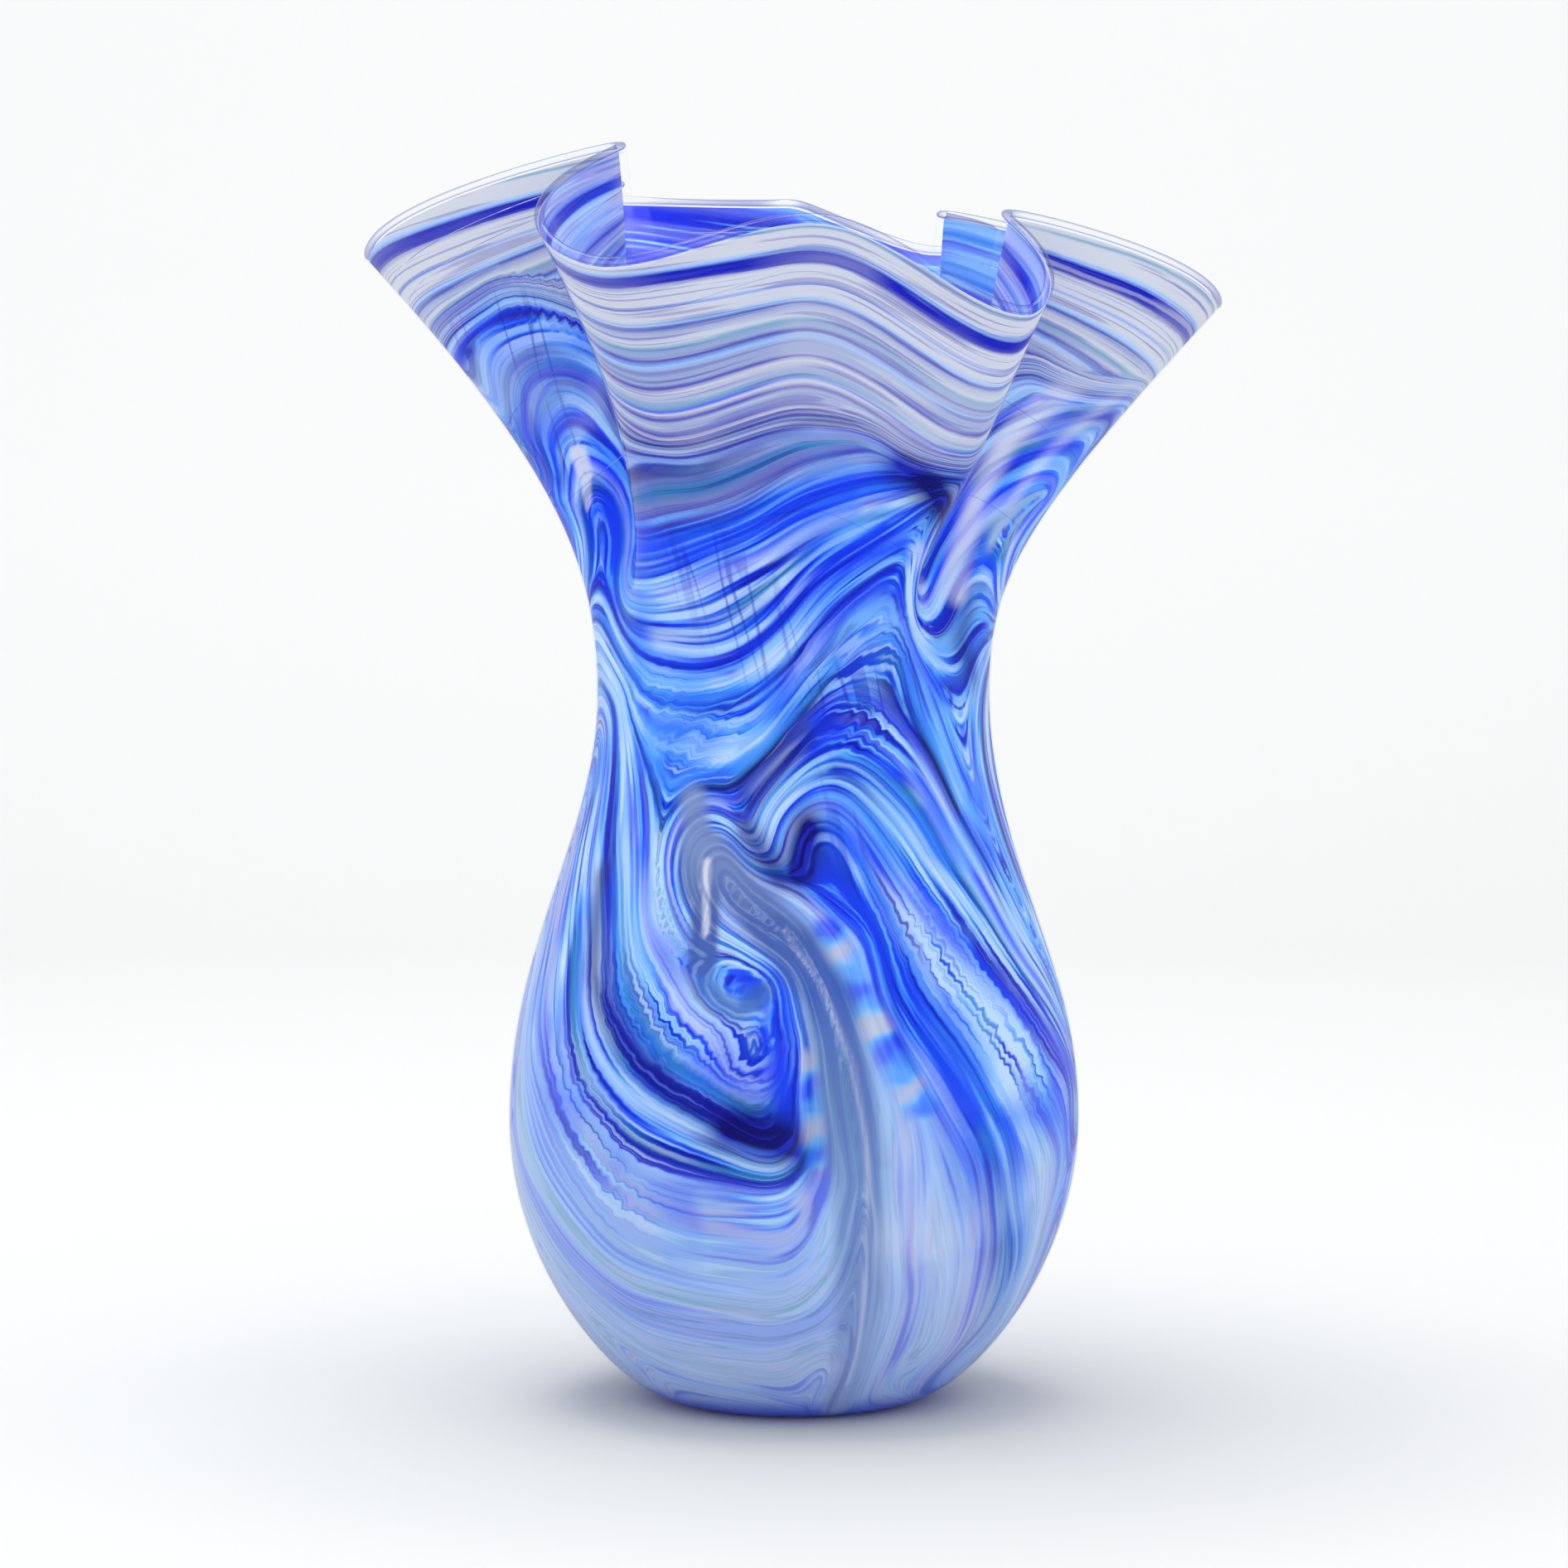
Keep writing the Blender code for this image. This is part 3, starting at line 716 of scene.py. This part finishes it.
# Colours of the threads by number. Each run starts where the last one ends.
THREADS = (
    ((30, ROYAL), (36, PERIWINKLE), (39, LAVENDER), (42, SEA), (46, MIST), (58, LAVENDER), (62, PERIWINKLE),
     (66, PERIWINKLE), (69, MIST), (72, SEA), (77, PALE_BLUE), (84, LAVENDER), (93, ROSE), (98, PALE_BLUE),
     (102, PERIWINKLE), (104, COBALT), (106, TEAL), (109, SKY), (113, ICE), (116, PERIWINKLE), (118, CYAN),
     (121, ROYAL), (123, COBALT), (127, COBALT), (129, SKY)),
    ((129, SKY), (131, TEAL), (133, PALE_BLUE), (136, ROYAL), (138, ICE), (140, PERIWINKLE), (142, NAVY),
     (144, SKY), (147, CYAN), (150, ROYAL), (152, COBALT), (155, SKY), (158, CYAN), (161, COBALT),
     (163, ROYAL), (166, TEAL), (169, ICE), (172, ROYAL), (175, SKY), (178, COBALT), (181, ROYAL),
     (184, TEAL), (186, GREY), (188, VIOLET), (190, GREY), (192, TEAL), (194, GREY), (196, INDIGO),
     (198, ROYAL), (200, LAVENDER), (202, INDIGO)),
    ((202, INDIGO), (203.5, ROYAL), (205, PEARL), (206.5, VIOLET), (208.5, OPAL), (211, PEARL),
     (212.4, VIOLET), (213.8, SEA), (215, INDIGO), (216.8, INDIGO), (218, PEARL), (220.6, VIOLET),
     (221.5, OPAL), (223, VIOLET), (224.5, PEARL), (227, PEARL), (228, VIOLET), (229.5, OPAL),
     (230.3, PERIWINKLE), (231.5, SEA), (233, PEARL), (235.5, OPAL), (236.7, VIOLET), (237.6, PEARL),
     (241, PEARL), (242, PALE_BLUE), (243.7, VIOLET), (244.6, PEARL), (246.5, SEA), (247.5, OPAL),
     (250, PEARL)),
    ((250, PEARL), (250.8, VIOLET), (251.6, PALE_BLUE), (252.8, OPAL), (255.0, OPAL), (255.6, LAVENDER),
     (256.2, OPAL), (259.9, OPAL), (260.8, VIOLET), (261.6, COBALT), (263.4, COBALT), (264.2, PALE_BLUE),
     (265.2, OPAL), (268.6, OPAL), (269.2, SEA), (269.8, OPAL)),
)


def thread_colours(graph, thread):
    """The colour of a thread by its number."""
    colour = None
    for run in THREADS:
        low, high = run[0][0], run[-1][0]
        place = graph.scaled(thread, 1.0 / (high - low), -low / (high - low))
        stops = [((number - low) / (high - low), shade) for number, shade in run]
        part = graph.ramp(place, stops)
        if colour is None:
            colour = part
        else:
            colour = graph.blend(graph.step(thread, low - 0.01, low + 0.01), colour, part)
    return colour


class Streaks:
    """Noise drawn out along the threads, by how many streaks fit in a millimetre across them."""

    LOWEST, HIGHEST = -3, 2
    STRETCH = 0.022

    def __init__(self, graph, thread, place):
        x, y, z = place
        self.graph = graph
        self.pitch = graph.attribute("pitch")
        round_about = graph.maths("ADD", graph.scaled(y, 0.6 * self.STRETCH), graph.scaled(x, self.STRETCH))
        upright = graph.scaled(z, self.STRETCH)
        self.octaves = []
        for power in range(self.LOWEST, self.HIGHEST + 1):
            across = graph.scaled(thread, 2.0 ** power, 37.0 * power)
            self.octaves.append(graph.noise(graph.vector(across, round_about, upright), 1.0, 1.0))

    def across(self, per_mm):
        """The streaks of one width, about 0.5."""
        graph = self.graph
        wanted = graph.scaled(self.pitch, -1.0, math.log2(per_mm))
        wanted = graph.maths("MAXIMUM", wanted, float(self.LOWEST))
        wanted = graph.maths("MINIMUM", wanted, float(self.HIGHEST))
        total = None
        for power, octave in zip(range(self.LOWEST, self.HIGHEST + 1), self.octaves):
            away = graph.maths("ABSOLUTE", graph.scaled(wanted, 1.0, -float(power)))
            weight = graph.maths("SUBTRACT", 1.0, away, clamp=True)
            part = graph.maths("MULTIPLY", octave, weight)
            total = part if total is None else graph.maths("ADD", total, part)
        return total


class FlowGraph(Graph):
    """The nodes of the coloured glass, whose colours are drawn along the flow of its threads."""

    # from broad streaks to hair-fine ones
    STREAKS_PER_MM = (0.10, 0.28, 0.65, 1.6)
    # the height over which the milky ribbon changes colour
    MILKY_HEIGHT = 240.0

    def __init__(self, name):
        super().__init__(name)
        self.x, self.y, self.z = self.position()
        self.place = self.vector(self.x, self.y, self.z)
        self.level = self.attribute("level")
        thread = self.bent_thread()
        streaks = Streaks(self, thread, (self.x, self.y, self.z))
        widths = (streaks.across(per_mm) for per_mm in self.STREAKS_PER_MM)
        self.broad, self.middle, self.fine, self.hair = widths
        self.known = thread_colours(self, thread)
        self.shade = self.streak_shade()

    def partly(self, value, low, high, most):
        """A step that only reaches part of the way."""
        return self.scaled(self.step(value, low, high), most)

    def bent_thread(self):
        """The thread number, made to waver everywhere and to jump in teeth along the zigzags."""
        crowding = self.maths("POWER", 2.0, self.attribute("pitch"))
        waver = self.scaled(self.noise(self.place, 0.022, 1.0), 2.0, -1.0)
        waver = self.maths("MULTIPLY", waver, self.scaled(self.level, -3.4, 5.0))
        ahead = self.scaled(self.maths("SUBTRACT", self.x, self.z), 0.36)
        aside = self.scaled(self.maths("ADD", self.x, self.z), 0.05)
        teeth = self.scaled(self.noise(self.vector(ahead, aside, 0.0), 1.0, 1.0), 2.0, -1.0)
        teeth = self.maths("MULTIPLY", teeth, self.scaled(self.attribute("zigzag"), 2.6, 0.10))
        bend = self.maths("MULTIPLY", self.maths("ADD", waver, teeth), crowding)
        return self.maths("ADD", self.attribute("thread"), bend)

    def streak_shade(self):
        """Streaks of all widths together, about 0.5."""
        shade = self.scaled(self.broad, 1.3, -0.15)
        shade = self.maths("ADD", shade, self.scaled(self.middle, 1.6, -0.80))
        shade = self.maths("ADD", shade, self.scaled(self.fine, 1.7, -0.85))
        return self.maths("ADD", shade, self.scaled(self.hair, 0.6, -0.30))

    def raked(self):
        """The blue glass of the body: its threads, darker and lighter streaks, and calmer patches."""
        streaked = self.ramp(self.shade, (
            (0.10, NAVY), (0.24, COBALT), (0.36, ROYAL), (0.46, (0.03, 0.14, 0.98)), (0.54, SKY),
            (0.64, CYAN), (0.74, PALE_BLUE), (0.86, ICE)))
        colour = self.blend(self.step(self.middle, 0.42, 0.58), self.known, streaked)
        colour = self.blend(self.partly(self.fine, 0.44, 0.34, 0.75), colour, COBALT)
        colour = self.blend(self.partly(self.fine, 0.56, 0.66, 0.55), colour, CYAN)
        colour = self.blend(self.partly(self.hair, 0.60, 0.70, 0.30), colour, ICE)
        calm = self.ramp(self.broad, ((0.40, ROYAL), (0.48, (0.03, 0.18, 1.0)), (0.54, SKY), (0.62, CYAN)))
        calmness = self.partly(self.noise(self.place, 0.05, 1.0), 0.48, 0.62, 0.5)
        return self.blend(calmness, colour, calm)

    def light(self, colour):
        share = self.maths("MULTIPLY", self.attribute("light"), self.step(self.fine, 0.44, 0.56))
        return self.blend(share, colour, ICE)

    def royal(self, colour):
        royal = self.blend(self.step(self.fine, 0.52, 0.62), ROYAL, SKY)
        royal = self.blend(self.partly(self.fine, 0.42, 0.34, 0.8), royal, COBALT)
        return self.blend(self.scaled(self.attribute("royal"), 0.9), colour, royal)

    def crossed(self, colour):
        """Thin dark lines that cross the threads."""
        sideways = self.maths("ADD", self.scaled(self.x, 0.20), self.scaled(self.z, 0.05))
        place = self.vector(sideways, self.scaled(self.y, 0.05), self.scaled(self.z, 0.012))
        away = self.maths("ABSOLUTE", self.scaled(self.noise(place, 1.0, 1.0), 1.0, -0.5))
        lines = self.maths("MULTIPLY", self.step(away, 0.035, 0.010), self.attribute("crossed"))
        return self.blend(self.scaled(lines, 0.6), colour, COBALT)

    def veiled(self, colour):
        veil = self.blend(self.step(self.fine, 0.50, 0.60), self.known, GREY)
        veil = self.blend(self.partly(self.hair, 0.46, 0.38, 0.6), veil, INDIGO)
        return self.blend(self.scaled(self.attribute("veil"), 0.9), colour, veil)

    def deep(self, colour):
        deep = self.blend(self.step(self.fine, 0.48, 0.62), NAVY, COBALT)
        return self.blend(self.maths("MINIMUM", self.attribute("deep"), 1.0), colour, deep)

    def pale(self, colour):
        """The pale ground of the foot, with a deep blue edge where it meets the table."""
        pale = self.ramp(self.shade, (
            (0.05, PERIWINKLE), (0.22, (0.30, 0.42, 0.90)), (0.36, LAVENDER), (0.52, MIST), (0.66, ROSE),
            (0.78, SEA), (0.90, MIST)))
        colour = self.blend(self.attribute("pale"), colour, self.blend(0.65, self.known, pale))
        return self.blend(self.partly(self.z, 7.0, 1.0, 0.85), colour, (0.03, 0.10, 0.85))

    def panes(self, colour):
        """Small panes of clearer glass, in bars across their strip."""
        along = self.maths("ADD", self.scaled(self.x, 0.05), self.scaled(self.z, -0.12))
        along = self.maths("ADD", along, self.scaled(self.noise(self.place, 0.16, 1.0), 0.9))
        bars = self.noise(self.vector(along, 0.0, 0.0), 1.0, 0.0)
        panes = self.ramp(bars, ((0.38, ROYAL), (0.48, SKY), (0.54, CYAN), (0.64, CREAM)))
        window = self.maths("ADD", self.attribute("window"), self.scaled(self.middle, 0.8, -0.4))
        return self.blend(self.partly(window, 0.2, 0.9, 0.75), colour, panes)

    def milky(self, colour):
        """The milky ribbon, paler towards the foot."""
        milky = self.ramp(self.scaled(self.z, 1.0 / self.MILKY_HEIGHT), (
            (0.0, (0.36, 0.48, 0.80)), (0.16, (0.20, 0.32, 0.62)), (0.32, (0.14, 0.26, 0.54)),
            (0.40, MILK), (0.46, (0.07, 0.13, 0.42)), (0.52, (0.22, 0.32, 0.60))))
        milky = self.blend(self.partly(self.fine, 0.52, 0.66, 0.25), milky, MIST)
        milky = self.blend(self.partly(self.fine, 0.48, 0.36, 0.4), milky, (0.10, 0.14, 0.55))
        return self.blend(self.step(self.attribute("milky"), 0.15, 0.75), colour, milky)

    # Milky white glass, painted highlights and painted light along the white paths, strongest in the lighter
    # fine streaks.
    def white_and_highlight(self, colour):
        share = self.step(self.attribute("white_and_highlight"), 0.25, 1.0)
        streaked = self.scaled(self.step(self.fine, 0.40, 0.54), 0.45, 0.55)
        return self.blend(self.maths("MULTIPLY", share, streaked), colour, (0.84, 0.86, 0.92))

    def wound(self, colour):
        """The level threads wound round the flare."""
        fading = self.partly(self.noise(self.place, 0.03, 1.0), 0.45, 0.65, 0.25)
        wound = self.blend(fading, self.known, OPAL)
        wound = self.blend(self.partly(self.hair, 0.43, 0.36, 0.45), wound, VIOLET)
        wound = self.blend(self.partly(self.fine, 0.45, 0.38, 0.40), wound, VIOLET)
        wound = self.blend(self.partly(self.fine, 0.57, 0.66, 0.45), wound, OPAL)
        return self.blend(self.level, colour, wound)

    def lined(self, colour):
        """The blue of the inner face."""
        lined = self.ramp(self.broad, ((0.42, (0.012, 0.03, 0.70)), (0.50, (0.02, 0.10, 0.95)), (0.58, SKY)))
        lined = self.blend(self.step(self.fine, 0.52, 0.64), lined, CYAN)
        return self.blend(self.scaled(self.attribute("inside"), 0.85), colour, lined)

    def colour(self):
        """The glass's colour: the raked glass, then each kind of patch over the ones before it."""
        colour = self.raked()
        for patch in (self.light, self.royal, self.crossed, self.veiled, self.deep, self.pale, self.panes,
                      self.milky, self.white_and_highlight, self.wound, self.lined):
            colour = patch(colour)
        return colour

    def cover(self):
        """How milky the glass is."""
        pale = self.scaled(self.attribute("pale"), 0.8)
        cover = self.maths("MAXIMUM", self.attribute("milky"), pale)
        return self.maths("MAXIMUM", cover, self.scaled(self.level, 0.9))


# How much of the glass is clear where it isn't milky, and how much of the rest glows from behind.
CLARITY = 0.24
GLOW_SHARE = 0.18
# How much white is in the tint of the clear share.
CLEAR_WHITENESS = 0.35
WHITE_LIGHT = (1.0, 1.0, 1.0)


def colour_glass(name):
    """Coloured glass that shines its colour from both lit sides."""
    graph = FlowGraph(name)
    colour = graph.colour()
    lit = graph.node("ShaderNodeBsdfDiffuse", Color=colour)
    through = graph.node("ShaderNodeBsdfTranslucent", Color=colour)
    clear = graph.node("ShaderNodeBsdfTransparent", Color=graph.blend(CLEAR_WHITENESS, colour, WHITE_LIGHT))
    body = graph.shader_mix(GLOW_SHARE, lit, through)
    clarity = graph.scaled(graph.cover(), -CLARITY, CLARITY)
    return graph.finish(graph.shader_mix(clarity, body, clear).outputs[0])


def ground_glass(name):
    """Frosted clear glass that lets lamps shine through."""
    tint = (0.93, 0.96, 1.0)
    graph = Graph(name)
    solid = graph.node("ShaderNodeBsdfPrincipled", Base_Color=tint, Roughness=0.25, IOR=1.5)
    solid.inputs["Transmission Weight"].default_value = 1.0
    light = graph.node("ShaderNodeBsdfTransparent", Color=tint)
    shadow = graph.node("ShaderNodeLightPath").outputs["Is Shadow Ray"]
    return graph.finish(graph.shader_mix(shadow, solid, light).outputs[0])


def turning(graph):
    """How far the surface turns away from the eye, and 1 on its front and 0 on its back."""
    facing = graph.node("ShaderNodeLayerWeight", Blend=0.5).outputs["Facing"]
    front = graph.scaled(graph.node("ShaderNodeNewGeometry").outputs["Backfacing"], -1.0, 1.0)
    return facing, front


def skin_glass(name, edge):
    """A thin clear layer: light passes straight through and the outer face glints."""
    graph = Graph(name)
    facing, front = turning(graph)
    through = graph.node("ShaderNodeBsdfTransparent")
    glint = graph.node("ShaderNodeBsdfGlossy", Roughness=0.03)
    share = graph.scaled(graph.maths("POWER", facing, 4.0), edge, 0.008)
    return graph.finish(graph.shader_mix(graph.maths("MULTIPLY", share, front), through, glint).outputs[0])


def lip_glass(name):
    """The clear bead, with painted shade at its edges: bright in the middle, greyer where it turns away, in
    place of the dark outline that refraction draws.
    """
    graph = Graph(name)
    facing, front = turning(graph)
    # painted edge shade: the see-through colour turns grey and violet as the bead turns away from the eye
    tint = graph.ramp(facing, (
        (0.15, (0.96, 0.97, 1.0)), (0.45, (0.62, 0.65, 0.86)), (0.80, (0.26, 0.29, 0.62))))
    through = graph.node("ShaderNodeBsdfTransparent", Color=graph.blend(front, WHITE_LIGHT, tint))
    glint = graph.node("ShaderNodeBsdfGlossy", Roughness=0.02)
    share = graph.node("ShaderNodeFresnel", IOR=1.4).outputs[0]
    return graph.finish(graph.shader_mix(graph.maths("MULTIPLY", share, front), through, glint).outputs[0])


# ---- pieces ----

# Half the gap between two bands of colour, as a share of a station.
SEAM = 0.0004
CASING_ROWS = 190
GATHER_ROWS = 150
LIP_COLUMNS = 720
LIP_SIDES = 16
LIP_HALF_WIDTH = 1.1
LIP_HALF_HEIGHT = 0.8


def build_colour(flow):
    material = colour_glass("raked glass")
    bands = (
        ("colour_swirl", "raked_overlay", 0.0, OVERLAY_TOP - SEAM, 190),
        ("violet_threads", "violet_thread_wrap", OVERLAY_TOP + SEAM, VIOLET_TOP - SEAM, 28),
        ("opal_threads", "opal_thread_wrap", VIOLET_TOP + SEAM, OPAL_TOP - SEAM, 34),
        ("cobalt_line", "cobalt_lip_thread", OPAL_TOP + SEAM, COBALT_TOP - SEAM, 6),
        ("opal_lip", "opal_lip_wrap", COBALT_TOP + SEAM, RIM, 8),
    )
    for name, node, low, high, rows in bands:
        layer(name, node, np.linspace(low, high, rows), at_depth(COLOUR_FRONT), at_depth(COLOUR_BACK),
              material, flow)


def build_clear():
    layer("clear_casing", "outer_casing", np.linspace(SEAL_HOLE, RIM, CASING_ROWS), at_depth(0.0),
          at_depth(SKIN_BACK), skin_glass("casing glass", 0.55))
    layer("clear_gather", "inner_gather", np.linspace(0.0, RIM, GATHER_ROWS), at_depth(GATHER_FRONT),
          wall_thickness, skin_glass("gather glass", 0.3))


def build_lip():
    """The fire-polished bead, an oval section swept round the rim."""
    azimuth = np.arange(LIP_COLUMNS) * 360.0 / LIP_COLUMNS
    point, inward, up = wall_frame(azimuth, np.full(LIP_COLUMNS, RIM))
    around = (np.arange(LIP_SIDES) * math.tau / LIP_SIDES)[:, None, None]
    deep = float(wall_thickness(np.array(RIM))) / 2.0 - np.cos(around) * LIP_HALF_WIDTH
    rise = LAYER_GAP + (1.0 + np.sin(around)) * LIP_HALF_HEIGHT
    points = point + inward * deep + up * rise
    points = np.concatenate((points, points[:1]))
    ringed_piece("fire_polished_lip", "lip_bead", points, lip_glass("lip glass"))


def build_seal():
    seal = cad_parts["pontil_seal"]
    seal.data.materials.clear()
    seal.data.materials.append(ground_glass("ground glass"))


# ---- the studio ----

# The backdrop in metres: the floor's half width, its front and back edges, its height and its bend.
STAGE_WIDTH, STAGE_FRONT, STAGE_BACK, STAGE_TOP, STAGE_BEND = 4.0, -4.0, 1.6, 3.0, 0.8
BEND_STEPS = 12
# The floor brightens between these distances in mm from the vase, so that it meets the sky without an edge,
# and between these heights it turns into the paper of the wall.
OPEN_FLOOR = (400.0, 2200.0)
WALL_HEIGHTS = (0.0, 900.0)
VASE_CENTRE = Vector((0.0, 0.0, 0.135))
LAMP_AIM = Vector((0.0, 0.0, 0.12))


def paper(name):
    """Pale paper, its shade set by how near it lies to the vase."""
    graph = Graph(name)
    x, y, z = graph.position()
    near = graph.ramp(graph.scaled(y, 0.0004, 0.3), (
        (0.15, (0.590, 0.595, 0.590)), (0.20, (0.580, 0.585, 0.580)), (0.30, (0.570, 0.575, 0.570)),
        (0.50, (0.585, 0.590, 0.590)), (0.62, (0.600, 0.605, 0.605)), (0.80, (0.640, 0.645, 0.645))))
    away = graph.maths("MAXIMUM", graph.maths("ABSOLUTE", x), graph.scaled(y, -1.0))
    floor = graph.blend(graph.step(away, *OPEN_FLOOR), near, (0.800, 0.800, 0.800))
    shade = graph.blend(graph.step(z, *WALL_HEIGHTS), floor, (0.720, 0.720, 0.720))
    return graph.finish(graph.node("ShaderNodeBsdfDiffuse", Color=shade).outputs[0])


def build_stage():
    """A pale floor that curves up into the backdrop."""
    bend_start = STAGE_BACK - STAGE_BEND
    profile = [(STAGE_FRONT, 0.0), (bend_start, 0.0)]
    for step in range(1, BEND_STEPS + 1):
        turn = step / BEND_STEPS * math.pi / 2.0
        profile.append((bend_start + STAGE_BEND * math.sin(turn), STAGE_BEND - STAGE_BEND * math.cos(turn)))
    profile.append((STAGE_BACK, STAGE_TOP))
    vertices = [(side * STAGE_WIDTH, y, z) for y, z in profile for side in (-1.0, 1.0)]
    faces = [(2 * i, 2 * i + 1, 2 * i + 3, 2 * i + 2) for i in range(len(profile) - 1)]
    mesh = bpy.data.meshes.new("backdrop")
    mesh.from_pydata(vertices, [], faces)
    mesh.shade_smooth()
    mesh.materials.append(paper("backdrop paper"))
    backdrop = bpy.data.objects.new("backdrop", mesh)
    bpy.context.scene.collection.objects.link(backdrop)


def aimed(name, data, location, target):
    """An object at a place, turned to look at a target."""
    holder = bpy.data.objects.new(name, data)
    holder.location = location
    holder.rotation_euler = (target - holder.location).to_track_quat("-Z", "Y").to_euler()
    bpy.context.scene.collection.objects.link(holder)
    return holder


def build_lights():
    """Soft light from all round and a softbox overhead."""
    world = bpy.data.worlds.new("studio")
    bpy.context.scene.world = world
    world.use_nodes = True
    sky = world.node_tree.nodes["Background"]
    sky.inputs["Color"].default_value = (0.99, 0.995, 1.0, 1.0)
    sky.inputs["Strength"].default_value = 1.35
    lamp = bpy.data.lights.new("softbox", "AREA")
    lamp.shape = "DISK"
    lamp.size = 0.9
    lamp.energy = 10.5
    aimed("softbox", lamp, (-0.10, 0.12, 1.3), LAMP_AIM)


def build_camera():
    """A long lens a little above the vase, looking slightly down."""
    camera = bpy.data.cameras.new("camera")
    camera.sensor_width = 36.0
    camera.lens = 137.4
    camera.shift_x = -0.006
    bpy.context.scene.camera = aimed("camera", camera, (0.0, -1.3, 0.257), VASE_CENTRE)


def build_look():
    """Plain colours, and enough bounces for light to pass through every layer of glass."""
    scene = bpy.context.scene
    scene.view_settings.view_transform = "Standard"
    scene.view_settings.look = "None"
    scene.cycles.max_bounces = 16
    scene.cycles.diffuse_bounces = 6
    scene.cycles.transparent_max_bounces = 40


build_colour(Flow())
build_clear()
build_lip()
build_seal()
build_stage()
build_lights()
build_camera()
build_look()
